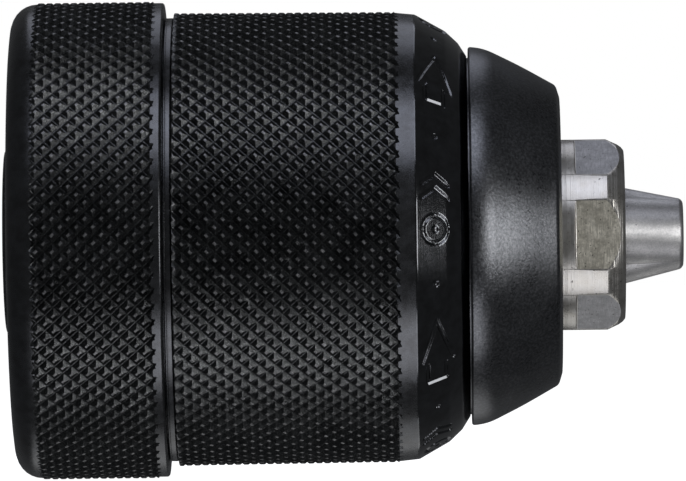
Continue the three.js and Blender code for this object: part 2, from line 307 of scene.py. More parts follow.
def turned_by(shape, turn):
    """The shape turned about X."""
    points, faces = shape
    return np.asarray(points) @ np.array(Matrix.Rotation(turn, 3, "X")).T, faces


def merged(parts):
    """Several (points, faces) shapes as one."""
    points, faces, offset = [], [], 0
    for some_points, some_faces in parts:
        points.append(np.asarray(some_points))
        faces += [tuple(i + offset for i in face) for face in some_faces]
        offset += len(some_points)
    return np.vstack(points), faces


# ---- knurling ----
# Two families of V grooves cross on the grip, one deeper than the other. Their lattice has two
# directions: `a` goes forward and on around the axis, `b` goes forward and back around it. The
# deep grooves run along `a`. The grip's "way" is -1 where the two directions trade places.


def knurl_lines(pitch, groove, others):
    """Where the mesh has lines within one pitch, across grooves of this depth."""
    rising = [GROOVE_FLOOR, *others, groove]
    return [line / pitch for line in rising] + [1 - line / pitch for line in reversed(rising)]


def groove_depth(share, pitch, depths, index):
    """The depth that the grooves on both sides leave at this share of a pitch."""
    left = depths[index % len(depths)] - max(share * pitch, GROOVE_FLOOR)
    right = depths[(index + 1) % len(depths)] - max((1 - share) * pitch, GROOVE_FLOOR)
    return max(left, right)


def grip_radius(knurl, x):
    share = (x - knurl["start"]) / (knurl["end"] - knurl["start"])
    return knurl["radius"] + knurl["taper"] * min(max(share, 0), 1)


def front_band(x):
    """The radius of the plain band between the front grip and the cone."""
    share = (x - FRONT_KNURL["end"]) / (CONE_START - FRONT_KNURL["end"])
    return GRIP_END_RADIUS + share * (CONE_RADIUS - GRIP_END_RADIUS)


class Knurl:
    """The raised diamonds of one grip, as points that neighbouring diamonds share."""

    def __init__(self, knurl):
        self.knurl = knurl
        self.start, self.end, self.step = knurl["start"], knurl["end"], knurl["step"]
        self.count = knurl["around"]
        self.pitch = math.sqrt(2) * self.step
        hip = DEEP_GROOVE - SHALLOW_GROOVE + GROOVE_FLOOR
        self.a_lines = knurl_lines(self.pitch, SHALLOW_GROOVE, [])
        self.b_lines = knurl_lines(self.pitch, DEEP_GROOVE, [hip])
        self.dice = random.Random(self.count)
        spread = [self.dice.uniform(-GROOVE_SPREAD, GROOVE_SPREAD) for _ in range(2 * self.count)]
        self.shallow = [SHALLOW_GROOVE + share for share in spread[: self.count]]
        self.deep = [DEEP_GROOVE + share for share in spread[self.count :]]
        self.points = []
        self.faces = []
        self.known = {}
        self.tops = {}

    def top_drop(self, m, n):
        """How much lower than the grip's radius this diamond's top is."""
        if (m, n) not in self.tops:
            self.tops[m, n] = self.dice.uniform(0, TOP_SPREAD)
        return self.tops[m, n]

    def point(self, a, b):
        """The index of the point where line `a` crosses line `b`."""
        m, n = a // len(self.a_lines), b // len(self.b_lines)
        lap = (m - n) // (2 * self.count)
        m, n = m - lap * self.count, n + lap * self.count
        place = (m, a % len(self.a_lines), n, b % len(self.b_lines))
        if place not in self.known:
            self.known[place] = len(self.points)
            self.points.append(self.place(*place))
        return self.known[place]

    def place(self, m, a, n, b):
        a_share, b_share = self.a_lines[a], self.b_lines[b]
        first_x, first_turn = self.knurl["first"]
        x = first_x + (m + a_share + n + b_share - 1) * self.step
        steps = self.knurl["way"] * (m + a_share - n - b_share)
        turn = first_turn + steps * math.pi / self.count
        depth = max(
            groove_depth(a_share, self.pitch, self.shallow, m),
            groove_depth(b_share, self.pitch, self.deep, n),
            self.top_drop(m, n),
        )
        past = max(self.start - x, x - self.end, 0)
        r = grip_radius(self.knurl, x) - depth + past * RUN_OUT_SLOPE
        return x, -r * math.sin(turn), r * math.cos(turn)

    def diamond(self, m, n):
        """The faces of one diamond, split along the hips where two flanks of it meet."""
        a_count, b_count = len(self.a_lines), len(self.b_lines)
        hips = {(0, 1): 0, (a_count - 2, 1): 1, (0, b_count - 3): 1, (a_count - 2, b_count - 3): 0}
        for a in range(a_count):
            for b in range(b_count):
                at_a, at_b = m * a_count + a, n * b_count + b
                steps = (0, 0), (1, 0), (1, 1), (0, 1)
                corners = [self.point(at_a + i, at_b + j) for i, j in steps]
                first = hips.get((a, b), 0)
                corners = corners[first:] + corners[:first]
                split = [corners[:3], [corners[2], corners[3], corners[0]]]
                faces = split if (a, b) in hips else [corners]
                self.faces += [tuple(face[:: self.knurl["way"]]) for face in faces]

    def cut_to_length(self):
        """All diamonds between the grip's ends, as points, faces and the two end rings."""
        rows = math.ceil((self.end - self.start) / self.step)
        for row in range(-4, rows + 4):
            for around in range(row % 2, 2 * self.count, 2):
                self.diamond((row + around) // 2, (row - around) // 2)
        mesh = bmesh.new()
        vertices = [mesh.verts.new(point) for point in self.points]
        for face in self.faces:
            mesh.faces.new([vertices[i] for i in face])
        for end, forward in ((self.start, -1), (self.end, 1)):
            bmesh.ops.bisect_plane(
                mesh,
                geom=[*mesh.verts, *mesh.edges, *mesh.faces],
                dist=1e-5,
                plane_co=(end + forward * RUN_OUT, 0, 0),
                plane_no=(forward, 0, 0),
                clear_outer=True,
            )
        mesh.verts.index_update()
        points = [tuple(vertex.co) for vertex in mesh.verts]
        faces = [tuple(vertex.index for vertex in face.verts) for face in mesh.faces]
        rim = {vertex.index for edge in mesh.edges if edge.is_boundary for vertex in edge.verts}
        mesh.free()
        middle = (self.start + self.end) / 2
        ends = [[i for i in rim if (points[i][0] > middle) == ahead] for ahead in (True, False)]
        return points, faces, [sorted(ring, key=lambda i: turn_of(points[i])) for ring in ends]


def turn_of(point):
    return math.atan2(-point[1], point[2]) % FULL_TURN


def zip_rings(first, first_turns, second, second_turns):
    """Triangles between two rings that differ in their number of vertices."""
    faces = []
    i = j = 0
    while i < len(first) or j < len(second):
        next_first = first_turns[i + 1] if i + 1 < len(first) else FULL_TURN + (i >= len(first))
        next_second = second_turns[j + 1] if j + 1 < len(second) else FULL_TURN + (j >= len(second))
        here, there = first[i % len(first)], second[j % len(second)]
        if i < len(first) and next_first <= next_second:
            faces.append((here, first[(i + 1) % len(first)], there))
            i += 1
        else:
            faces.append((here, second[(j + 1) % len(second)], there))
            j += 1
    return faces


def knurl_blank(knurl):
    """A thick ring with the grip outside, larger all over than the sleeve that is cut from it."""
    points, faces, (end, start) = Knurl(knurl).cut_to_length()
    outer, inner, length, sides = knurl["radius"] + 1, 5, knurl["end"] + 5, 96
    outline = [
        (knurl["end"] + RUN_OUT + 0.1, outer), (length, outer), (length, inner),
        (-1, inner), (-1, outer), (knurl["start"] - RUN_OUT - 0.1, outer),
    ]
    turns = even_turns(sides)
    rings = ring_numbers(len(outline), sides, len(points))
    faces += zip_rings(end, [turn_of(points[i]) for i in end], rings[0], turns)
    faces += zip_rings(rings[-1], turns, start, [turn_of(points[i]) for i in start])
    return np.vstack([points, *[around(x, r, turns) for x, r in outline]]), faces + skin(rings)


# ---- marks engraved on the collar ----


def polyline(*corners):
    return list(zip(corners, corners[1:]))


def round_outline(radius, sides):
    return [(radius * math.cos(turn), radius * math.sin(turn)) for turn in even_turns(sides)]


def circle(centre, radius, steps):
    """A circle as short lines; one of six is a dot."""
    ring = [(centre[0] + a, centre[1] + b) for a, b in round_outline(radius, steps)]
    return polyline(*ring, ring[0])


def arrow_strokes():
    """The outline of an arrow; each point is (up, along) in millimetres from the slot's middle."""
    tip, head, tail = 3.7, -1.35, -3.6
    middle, wing, stem = 2.3, 2.05, 1.1
    near_side = [(head, middle + wing), (head, middle + stem), (tail, middle + stem)]
    far_side = [(up, 2 * middle - along) for up, along in reversed(near_side)]
    return polyline((tip, middle), *near_side, *far_side, (tip, middle))


def grip_strokes():
    """Two chevrons and a ring with a hub: a plain sign for turning the sleeve to grip."""
    middle, wing, rise = 2.2, 1.6, 1.1
    strokes = []
    for foot in (1.05, 2.5):
        strokes += polyline((foot, middle - wing), (foot + rise, middle), (foot, middle + wing))
    strokes += circle((-2.2, middle), 1.45, 28)
    strokes += circle((-2.2, middle), 0.12, 6)
    return strokes


def stroke_depth(up, along, strokes):
    """How deep each (up, along) place is engraved."""
    nearest = np.full(np.broadcast(up, along).shape, 1e9)
    for (u0, v0), (u1, v1) in strokes:
        du, dv = u1 - u0, v1 - v0
        share = np.clip(((up - u0) * du + (along - v0) * dv) / (du * du + dv * dv), 0, 1)
        nearest = np.minimum(nearest, np.hypot(up - u0 - share * du, along - v0 - share * dv))
    inside = np.clip((MARK_HALF_WIDTH + MARK_EDGE - nearest) / (2 * MARK_EDGE), 0, 1)
    return MARK_DEPTH * inside * inside * (3 - 2 * inside)


def collar_marks():
    """The (turn of the middle, half width in millimetres, strokes) of every mark."""
    marks = []
    slot = FULL_TURN / MARK_SLOTS
    for k in range(MARK_SLOTS):
        middle = FIRST_MARK + k * slot
        strokes = arrow_strokes() if min(k, MARK_SLOTS - k) % ARROW_EVERY else grip_strokes()
        marks.append((TOWARDS_CAMERA - middle, 4.1, strokes))
        marks.append((TOWARDS_CAMERA - middle - slot / 2, 0.5, circle((0, 2.2), 0.1, 6)))
    return marks


def collar_turns(marks):
    """Turns of the collar's vertices: close together at the marks, and wide between them."""
    fine, coarse = 0.1, 0.9
    turns = []
    for middle, half, _ in marks:
        reach = half / MARK_RADIUS
        turns += list(np.linspace(middle - reach, middle + reach, round(2 * half / fine) + 1))
    turns = np.sort(np.mod(turns, FULL_TURN))
    filled = []
    for turn, following in zip(turns, np.append(turns[1:], turns[0] + FULL_TURN)):
        steps = max(1, round((following - turn) * MARK_RADIUS / coarse))
        filled += [turn + (following - turn) * k / steps for k in range(steps)]
    return np.array(filled)


def evenly_spaced(outline, step):
    """The open outline with points no further apart than `step`, and their distances along it."""
    points, lengths = [outline[0]], [0.0]
    for here, following in zip(outline, outline[1:]):
        gap = math.dist(here, following)
        pieces = max(1, math.ceil(gap / step))
        for k in range(1, pieces + 1):
            points.append(tuple(np.array(here) + (np.array(following) - here) * k / pieces))
            lengths.append(lengths[-1] + gap / pieces)
    return np.array(points), np.array(lengths)


def marked_collar():
    """The front sleeve's cone and shoulder, with arrows, dots and grip signs engraved."""
    face = [
        (COLLAR_START, front_band(COLLAR_START), 0), (CONE_START, CONE_RADIUS, 0.5), (46.74, 21.73, 1.6),
        (48.1, 20.45, 1.2), (48.98, 19.05, 0),
    ]
    face, lengths = evenly_spaced(rounded(face, steps=8), 0.09)
    lengths -= CONE_START - COLLAR_START
    slopes = np.gradient(face, axis=0)
    slopes /= np.linalg.norm(slopes, axis=1)[:, None]
    inward = np.column_stack([slopes[:, 1], -slopes[:, 0]])
    marks = collar_marks()
    turns = collar_turns(marks)
    depth = np.zeros((len(face), len(turns)))
    for middle, _, strokes in marks:
        away = np.mod(middle - turns + math.pi, FULL_TURN) - math.pi
        near = np.abs(away) * MARK_RADIUS < 4.3
        up = (away[near] * MARK_RADIUS)[None, :]
        depth[:, near] = np.maximum(depth[:, near], stroke_depth(up, lengths[:, None], strokes))
    rest = [
        (48.9, 18.97), (48.83, 18.97), (48.83, 13.6), (48.6, FLANGE_BORE), (46.7, FLANGE_BORE),
        (46.6, 13.5), (46.6, 18.5), (45.0, BORE_OVER_NUT), (COLLAR_START, BORE_OVER_NUT),
    ]
    rows = [
        around(x + inward[k, 0] * depth[k], r + inward[k, 1] * depth[k], turns)
        for k, (x, r) in enumerate(face)
    ]
    rows += [around(x, r, turns) for x, r in rest]
    return looped(rows)


# ---- jaws and their thread ----

JAW_ALONG = Vector((-math.cos(JAW_ANGLE), 0, math.sin(JAW_ANGLE)))
JAW_OUT = Vector((math.sin(JAW_ANGLE), 0, math.cos(JAW_ANGLE)))
JAW_LENGTH = (JAW_MEET - JAW_BACK) / math.cos(JAW_ANGLE)


def jaw_axis(back):
    """The place on the axis of the jaw at +Z that lies `back` behind the meeting point."""
    return Vector((JAW_MEET, 0, 0)) + JAW_ALONG * back


def jaw_place(back, out):
    """The (x, r) place that lies `back` along a jaw's axis and `out` from it."""
    place_at = jaw_axis(back) + JAW_OUT * out
    return place_at.x, place_at.z


def oval(middle, out, across):
    """The points of an ellipse with one arm `out` and the other along Y."""
    turns = even_turns(72)[:, None]
    return np.array(middle) + np.cos(turns) * np.array(out) + np.sin(turns) * (0, across, 0)


def tooth_comb(turn):
    """The comb that cuts the teeth of a jaw that stands at this turn."""
    first = RIDGE_START - TOOTH_PITCH * turn / FULL_TURN
    while first + TOOTH_PITCH < JAW_LENGTH:
        first += TOOTH_PITCH
    above, floor = JAW_RADIUS + 0.2, JAW_RADIUS - TOOTH_DEPTH
    flank = (TOOTH_TOP - TOOTH_BOTTOM) / 2 / TOOTH_DEPTH
    wide, narrow = TOOTH_TOP / 2 + 0.2 * flank, TOOTH_BOTTOM / 2
    outline = []
    back = first
    while back > TEETH_START:
        outline += [(back + wide, above), (back + narrow, floor)]
        outline += [(back - narrow, floor), (back - wide, above)]
        back -= TOOTH_PITCH
    outline += [(outline[-1][0], above + 1), (outline[0][0], above + 1)]
    return prism(outline[::-1], (JAW_ALONG, JAW_OUT, (0, 1, 0)), (JAW_MEET, -4, 0), 8)


def jaw_blank():
    """The jaw at +Z before its flats and teeth: a slanted cylinder with a square, rounded tip."""
    rings = []
    for step in range(9):
        corner = math.pi / 2 * (1 - step / 8)
        x = JAW_TIP - JAW_TIP_ROUNDING * (1 - math.sin(corner))
        inset = JAW_TIP_ROUNDING * (1 - math.cos(corner))
        middle = (x, 0, (JAW_MEET - x) * math.tan(JAW_ANGLE))
        out = (0, 0, JAW_RADIUS / math.cos(JAW_ANGLE) - inset)
        rings.append(oval(middle, out, JAW_RADIUS - inset))
    for back in (2.5, JAW_LENGTH / 2, JAW_LENGTH - JAW_EASE, JAW_LENGTH):
        radius = JAW_RADIUS - (JAW_EASE if back == JAW_LENGTH else 0)
        rings.append(oval(jaw_axis(back), JAW_OUT * radius, radius))
    return capped(rings)


def jaw_bore():
    """What the body loses to the jaw at +Z."""
    rear = (JAW_MEET - 5) / math.cos(JAW_ANGLE)
    return capped([oval(jaw_axis(back), JAW_OUT * JAW_BORE, JAW_BORE) for back in (-12, rear)])


def make_jaw(name, degrees):
    turn = math.radians(degrees)
    jaw = add_shape(name + "_ground", jaw_blank())
    apex = JAW_GAP / 2 / math.cos(math.pi / 6)
    side = 30 * math.tan(math.pi / 3)
    section = [(0, apex), (side, apex + 30), (-side, apex + 30)]
    combine(jaw, prism(section, YZX, (0, 0, 0), 80), "INTERSECT")
    edges = jaw.modifiers.new("edges", "BEVEL")
    edges.width = JAW_EDGE * MM
    edges.segments = 2
    edges.limit_method = "ANGLE"
    edges.angle_limit = math.radians(45)
    combine(jaw, tooth_comb(turn), "DIFFERENCE")
    jaw.data.transform(Matrix.Rotation(turn, 4, "X"))
    place(jaw, name, "jaw_steel", name, JAW_STEEL)


def helical_ridge(section, place_at, turns, drift):
    """A closed ridge wound about X; `drift` is how far its section moves in each turn."""
    steps = turns * THREAD_STEPS
    points = []
    for step in range(steps + 1):
        turn = step * FULL_TURN / THREAD_STEPS
        for along, out in section:
            x, r = place_at(along + drift * step / THREAD_STEPS, out)
            points.append((x, -r * math.sin(turn), r * math.cos(turn)))
    count = len(section)
    faces = [tuple(range(count)), tuple(range(steps * count, (steps + 1) * count))[::-1]]
    for step in range(steps):
        a = [step * count + k for k in range(count)]
        b = [index + count for index in a]
        faces += [(a[k], b[k], b[(k + 1) % count], a[(k + 1) % count]) for k in range(count)]
    return points, faces


def thread_section(crest, root, crest_half, root_half):
    return [(-crest_half, crest), (crest_half, crest), (root_half, root), (-root_half, root)]


# ---- materials ----


def set_input(node, name, value):
    node.inputs[name].default_value = value


def add_node(tree, kind, inputs, **settings):
    """Adds a node, whose inputs are values or other nodes' outputs. Returns its outputs."""
    node = tree.nodes.new("ShaderNode" + kind)
    for name, value in settings.items():
        setattr(node, name, value)
    for name, value in inputs.items():
        if isinstance(value, bpy.types.NodeSocket):
            tree.links.new(value, node.inputs[name])
        else:
            set_input(node, name, value)
    return node.outputs


class Metal:
    """Builds one procedural metal: small helpers around a node tree."""

    def __init__(self, name):
        self.material = bpy.data.materials.new(name)
        self.material.use_nodes = True
        self.tree = self.material.node_tree
        self.where = self.add("TexCoord", {})["Object"]

    def add(self, kind, inputs, **settings):
        return add_node(self.tree, kind, inputs, **settings)

    def math(self, operation, a, b):
        return self.add("Math", {0: a, 1: b}, operation=operation)[0]

    def scaled(self, factors):
        """The place, with each axis multiplied."""
        return self.add("VectorMath", {0: self.where, 1: factors}, operation="MULTIPLY")[0]

    def radius(self):
        """The distance from the chuck's axis, in metres."""
        return self.add("VectorMath", {0: self.scaled((0, 1, 1))}, operation="LENGTH")["Value"]

    def station(self):
        return self.add("SeparateXYZ", {0: self.where})["X"]

    def turning_place(self):
        """A place that is the same all round, so that noise on it makes turned lines."""
        return self.add("CombineXYZ", {"X": self.station(), "Y": self.radius()})[0]

    def noise(self, size_mm, place=None, *, detail, roughness=0.55):
        """Noise from 0 to 1 whose features are about this size."""
        inputs = {"Vector": place or self.where, "Scale": 1 / (size_mm * MM)}
        return self.add("TexNoise", {**inputs, "Detail": detail, "Roughness": roughness})["Fac"]

    def ramp(self, value, low, high, out_low=0.0, out_high=1.0):
        """The value moved from the range low..high to another, and kept inside it."""
        inputs = {"Value": value, "From Min": low, "From Max": high}
        return self.add("MapRange", {**inputs, "To Min": out_low, "To Max": out_high})["Result"]

    def mix(self, share, a, b):
        """A blend of two colours."""
        a, b = ((*color, 1) if isinstance(color, tuple) else color for color in (a, b))
        return self.add("Mix", {0: share, 6: a, 7: b}, data_type="RGBA")[2]

    def sheen(self, first, second, low, high):
        """A roughness from low to high that follows two noises together."""
        return self.ramp(self.math("ADD", first, second), 0.7, 1.3, low, high)

    def finish(self, color, roughness, *relief):
        """Completes the metal; its relief is (height, depth in millimetres, strength) layers."""
        shader = self.tree.nodes["Principled BSDF"]
        set_input(shader, "Metallic", 1.0)
        normal = {}
        for height, depth_mm, strength in relief:
            inputs = {"Height": height, "Distance": depth_mm * MM, "Strength": strength}
            normal = {"Normal": self.add("Bump", {**inputs, **normal})[0]}
        for name, value in {"Base Color": color, "Roughness": roughness, **normal}.items():
            self.tree.links.new(value, shader.inputs[name])
        return self.material


def blackened_metal(name, turned_depth=0.004, rough=(0.22, 0.32)):
    """Black oxide: semi-gloss, finely grained and a little cloudy."""
    metal = Metal(name)
    clouds = metal.noise(1.4, detail=6, roughness=0.65)
    grain = metal.noise(0.12, detail=3)
    lines = metal.noise(0.11, metal.turning_place(), detail=3)
    color = metal.mix(metal.ramp(clouds, 0.35, 0.68), (0.082, 0.083, 0.086), (0.122, 0.126, 0.134))
    roughness = metal.sheen(clouds, grain, *rough)
    return metal.finish(color, roughness, (grain, 0.006, 0.5), (lines, turned_depth, 0.7))


def knurled_metal(name, knurl):
    """Black oxide on a knurl: rough flanks, and tops that handling has worn dull and lighter."""
    metal = Metal(name)
    taper = knurl["taper"] / (knurl["end"] - knurl["start"])
    top_radius = knurl["radius"] - taper * knurl["start"]
    blotches = metal.noise(3.0, detail=5)
    crumbs = metal.noise(0.2, detail=3, roughness=0.75)
    peak = metal.math("SUBTRACT", metal.radius(), metal.math("MULTIPLY", metal.station(), taper))
    top = metal.ramp(peak, (top_radius - 0.07) * MM, (top_radius - 0.03) * MM)
    worn = metal.math("MULTIPLY", top, metal.ramp(metal.noise(0.5, detail=2), 0.35, 0.65, 0.3, 1.0))
    color = metal.mix(metal.ramp(blotches, 0.35, 0.7), (0.057, 0.059, 0.06), (0.082, 0.085, 0.086))
    color = metal.mix(worn, color, (0.3, 0.3, 0.305))
    color = metal.mix(metal.ramp(crumbs, 0.5, 0.38, 0.0, 0.7), color, (0.03, 0.031, 0.032))
    color = metal.mix(metal.ramp(crumbs, 0.54, 0.68, 0.0, 0.6), color, (0.24, 0.245, 0.25))
    roughness = metal.ramp(blotches, 0.35, 0.65, 0.25, 0.35)
    roughness = metal.math("ADD", roughness, metal.math("MULTIPLY", top, 0.15))
    return metal.finish(color, roughness, (crumbs, 0.05, 0.8))


def satin_black():
    """The cap's satin coating, with a fine grain that breaks up its sheen."""
    metal = Metal("satin_black")
    mottle = metal.noise(0.26, detail=4, roughness=0.7)
    blotches = metal.noise(4.0, detail=4)
    lines = metal.noise(0.25, metal.turning_place(), detail=2)
    color = metal.mix(metal.ramp(blotches, 0.35, 0.7), (0.112, 0.115, 0.122), (0.142, 0.146, 0.153))
    color = metal.mix(metal.ramp(mottle, 0.52, 0.36, 0.0, 0.5), color, (0.05, 0.052, 0.055))
    color = metal.mix(metal.ramp(mottle, 0.5, 0.66, 0.0, 0.5), color, (0.26, 0.265, 0.28))
    roughness = metal.sheen(mottle, blotches, 0.26, 0.35)
    return metal.finish(color, roughness, (mottle, 0.03, 0.7), (lines, 0.004, 0.4))


def machined_steel():
    """Bright turned steel, with tool lines round the axis and a few dark pits."""
    metal = Metal("machined_steel")
    lines = metal.noise(0.1, metal.turning_place(), detail=4, roughness=0.75)
    feed = metal.noise(0.34, metal.turning_place(), detail=1)
    grain = metal.noise(0.1, detail=3)
    stain = metal.noise(1.6, detail=6, roughness=0.7)
    pits = metal.ramp(metal.noise(0.3, detail=2), 0.69, 0.74)
    color = metal.mix(metal.ramp(stain, 0.35, 0.68), (0.53, 0.505, 0.46), (0.7, 0.685, 0.655))
    color = metal.mix(metal.ramp(lines, 0.4, 0.7, 0.0, 0.35), color, (0.34, 0.33, 0.31))
    color = metal.mix(pits, color, (0.1, 0.095, 0.09))
    roughness = metal.sheen(stain, grain, 0.26, 0.38)
    relief = (lines, 0.012, 0.8), (feed, 0.08, 0.7), (grain, 0.008, 0.4)
    return metal.finish(color, roughness, *relief)


def milled_steel(name, low, high):
    """The wrench flats: duller, with cutter lines across and dark blotches."""
    metal = Metal(name)
    lines = metal.noise(0.13, metal.scaled((1, 0.1, 0.1)), detail=4, roughness=0.75)
    stain = metal.noise(1.1, detail=7, roughness=0.78)
    grain = metal.noise(0.14, detail=3)
    pits = metal.ramp(metal.noise(0.26, detail=2), 0.67, 0.72)
    color = metal.mix(metal.ramp(stain, 0.38, 0.62), low, high)
    color = metal.mix(metal.ramp(lines, 0.44, 0.62, 0.0, 0.8), color, low)
    color = metal.mix(pits, color, (0.09, 0.085, 0.075))
    roughness = metal.sheen(stain, grain, 0.46, 0.58)
    return metal.finish(color, roughness, (lines, 0.02, 0.8), (grain, 0.014, 0.6))


def ground_steel(name, low, high, rough):
    """Hardened and ground steel, satin and mottled, with faint lengthwise streaks."""
    metal = Metal(name)
    streaks = metal.noise(0.5, metal.scaled((0.1, 1, 1)), detail=4, roughness=0.6)
    mottle = metal.noise(0.2, detail=4, roughness=0.75)
    stain = metal.noise(1.8, detail=5)
    pits = metal.ramp(metal.noise(0.22, detail=2), 0.7, 0.76)
    color = metal.mix(metal.ramp(stain, 0.3, 0.7), low, high)
    color = metal.mix(metal.ramp(mottle, 0.4, 0.65, 0.0, 0.45), color, (0.3, 0.3, 0.31))
    color = metal.mix(metal.ramp(streaks, 0.45, 0.8, 0.0, 0.25), color, (0.25, 0.25, 0.27))
    color = metal.mix(pits, color, (0.1, 0.1, 0.11))
    roughness = metal.sheen(streaks, mottle, *rough)
    return metal.finish(color, roughness, (mottle, 0.02, 0.7), (streaks, 0.008, 0.4))


def polished_steel():
    """Bearing steel: bright, with the faintest haze."""
    metal = Metal("polished_steel")
    haze = metal.noise(0.6, detail=4)
    scratches = metal.noise(0.05, metal.scaled((1, 0.2, 1)), detail=2)
    color = metal.mix(haze, (0.58, 0.585, 0.6), (0.68, 0.68, 0.69))
    roughness = metal.ramp(haze, 0.3, 0.7, 0.1, 0.2)
    return metal.finish(color, roughness, (scratches, 0.002, 0.4))


def cage_brass():
    """Stamped brass, slightly dulled."""
    metal = Metal("cage_brass")
    dull = metal.noise(1.2, detail=5)
    grain = metal.noise(0.1, detail=3)
    color = metal.mix(metal.ramp(dull, 0.35, 0.7), (0.66, 0.49, 0.22), (0.48, 0.34, 0.15))
    roughness = metal.ramp(dull, 0.3, 0.7, 0.24, 0.4)
    return metal.finish(color, roughness, (grain, 0.008, 0.5))


REAR_GRIP = knurled_metal("rear_grip", REAR_KNURL)
FRONT_GRIP = knurled_metal("front_grip", FRONT_KNURL)
BLACK_SMOOTH = blackened_metal("black_smooth", turned_depth=0.008)
COLLAR_BLACK = blackened_metal("collar_black", rough=(0.1, 0.14))
SATIN_BLACK = satin_black()
MACHINED = machined_steel()
# The wrench flats get two copies of the milled steel: painted light, lighter and warmer, for the flats
# that face front and back, and painted shade, darker and cooler, for the upper and lower flats.
MILLED_PAINTED_LIT = milled_steel("milled_steel", (0.46, 0.435, 0.36), (0.97, 0.93, 0.81))
MILLED_PAINTED_SHADE = milled_steel("milled_steel_painted_shade", (0.36, 0.36, 0.37), (0.6, 0.6, 0.615))
JAW_STEEL = ground_steel("jaw_steel", (0.56, 0.555, 0.55), (0.73, 0.72, 0.71), (0.38, 0.48))
NUT_STEEL = ground_steel("nut_steel", (0.36, 0.36, 0.37), (0.45, 0.45, 0.46), (0.28, 0.4))
POLISHED = polished_steel()
BRASS = cage_brass()

# ---- pieces on the body ----


def add_knurled_sleeve(name, knurl, outline, *placing):
    """Adds a sleeve turned to the outline, which stays just clear of the grip's diamonds.

    Its own finish goes to the knurl and its grooves' ends, and the smooth black to the rest.
    """
    sleeve = add_shape(name, knurl_blank(knurl))
    combine(sleeve, turned(outline, 256), "INTERSECT", solver="MANIFOLD")
    place(sleeve, *placing)
    sleeve.data.materials.append(BLACK_SMOOTH)
    for polygon in sleeve.data.polygons:
        x = polygon.center.x / MM
        out = Vector((0, *polygon.center.yz))
        past = max(knurl["start"] - x, x - knurl["end"])
        grooved = past < 0 or (past < RUN_OUT and polygon.normal.dot(out.normalized()) < 0.95)
        outside = out.length / MM > knurl["radius"] - 0.9
        polygon.material_index = 0 if grooved and outside else 1


def make_rear_sleeve():
    start, end, top = REAR_KNURL["start"], REAR_KNURL["end"], REAR_KNURL["radius"] + CLEAR
    corners = [
        (start, BAND_RADIUS, 0), (start + GRIP_LEAD, top, 0), (end - GRIP_LEAD, top, 0),
        (end, BAND_RADIUS, 0), (end + RUN_OUT, BAND_RADIUS, 0), (17.1, BAND_RADIUS, 0.28),
        (17.1, BORE_OVER_SPIGOT, 0.25), (3.0, BORE_OVER_SPIGOT, 1.2), (3.0, HUB_HOLE, 0.2),
        (SLEEVE_BACK, HUB_HOLE, 0.25), (SLEEVE_BACK, BAND_RADIUS, 2.76),
    ]
    placing = "body", "black_steel", "rear_sleeve", REAR_GRIP
    add_knurled_sleeve("rear_grip_sleeve", REAR_KNURL, rounded(corners, 7), *placing)


def make_guide_ring():
    inner, spigot, rim = BORE_OVER_BEARING, 21.95, 23.46
    corners = [
        (GUIDE_BACK, inner, 0.2), (GUIDE_BACK, spigot, 0.2), (17.22, spigot, 0.05),
        (17.22, rim, 0.12), (17.42, rim, 0.02), (17.46, rim - 0.05, 0.02),
        (17.50, rim, 0.02), (18.06, rim, 0.12), (18.06, spigot, 0.05),
        (GUIDE_FRONT, spigot, 0.2), (GUIDE_FRONT, inner, 0.2),
    ]
    ring = lathed(corners, 3, 256)
    add_piece("guide_ring_turned", ring, "body", "black_steel", "guide_ring", BLACK_SMOOTH)


def make_nose_cap():
    rim, skirt, wall = 18.87, 13.3, 14.5
    corners = [
        (48.88, 18.5, 0.02), (48.88, rim, 0.02), (CAP_BACK, rim, 0), (CAP_BACK, 20.03, 0.25),
        (50.67, 19.94, 6), (54.58, 18.0, 60), (58.38, 15.85, 0.9), (CAP_FRONT, 14.6, 0.6),
        (CAP_FRONT, 10.36, 0.25), (57.6, 10.36, 0.1), (57.6, skirt, 0.1), (49.6, skirt, 0.2),
        (49.6, wall, 0.2), (56.5, wall, 0.4), (56.8, 15.1, 0.2), (51.2, 18.2, 0.8),
    ]
    cap = lathed(corners, 7, 256)
    add_piece("nose_cap_shell", cap, "body", "satin_black", "nose_cap", SATIN_BLACK)


def turned_body():
    """The body from its rear face over the collar, the nut's groove and the nose, and back inside."""
    corners = [
        (0, 7.0, 0.1), (0, HUB_RADIUS, 0.35), (3.3, HUB_RADIUS, 0), (3.3, 12.5, 0.4),
        (23.6, 12.5, 0.8), (23.6, 20.3, 0.4), (28.6, 20.3, 0.4), (28.6, 15.0, 0.2),
        (30.1, 15.0, 0.2), (30.1, 13.0, 0.3), (34.9, 13.0, 0.2), (34.9, 11.0, 0.4),
        (40.5, 11.0, 0.4), (40.5, 13.0, 0.3), (57.3, 13.0, 0.3), (57.3, 10.08, 0),
        (63.59, 10.08, 0.12), (64.77, 9.54, 0.4), (65.19, 9.26, 0.3), (BODY_FRONT, 8.9, 0.2),
        (BODY_FRONT, 7.25, 0.1), (65.0, 6.75, 0.1), (24.0, 6.75, 0.3), (24.0, 3.3, 0.2),
        (17.0, 3.3, 0.1), (17.0, 6.3, 0.2), (0.7, 6.3, 0),
    ]
    return lathed(corners, 4)


def hexagon_waste():
    """What lies outside the wrench hexagon; its flats begin at a step with a small fillet."""
    flat, front, outside = ACROSS_FLATS / 2, 70, 14
    step_corner = (FLAT_START, flat, FLAT_FILLET)
    outline = rounded([(FLAT_START, outside, 0), (front, outside, 0), (front, flat, 0), step_corner])
    to_corner = 1 / math.cos(math.pi / 6)
    return turned([(x, r * to_corner) for x, r in outline], 6)


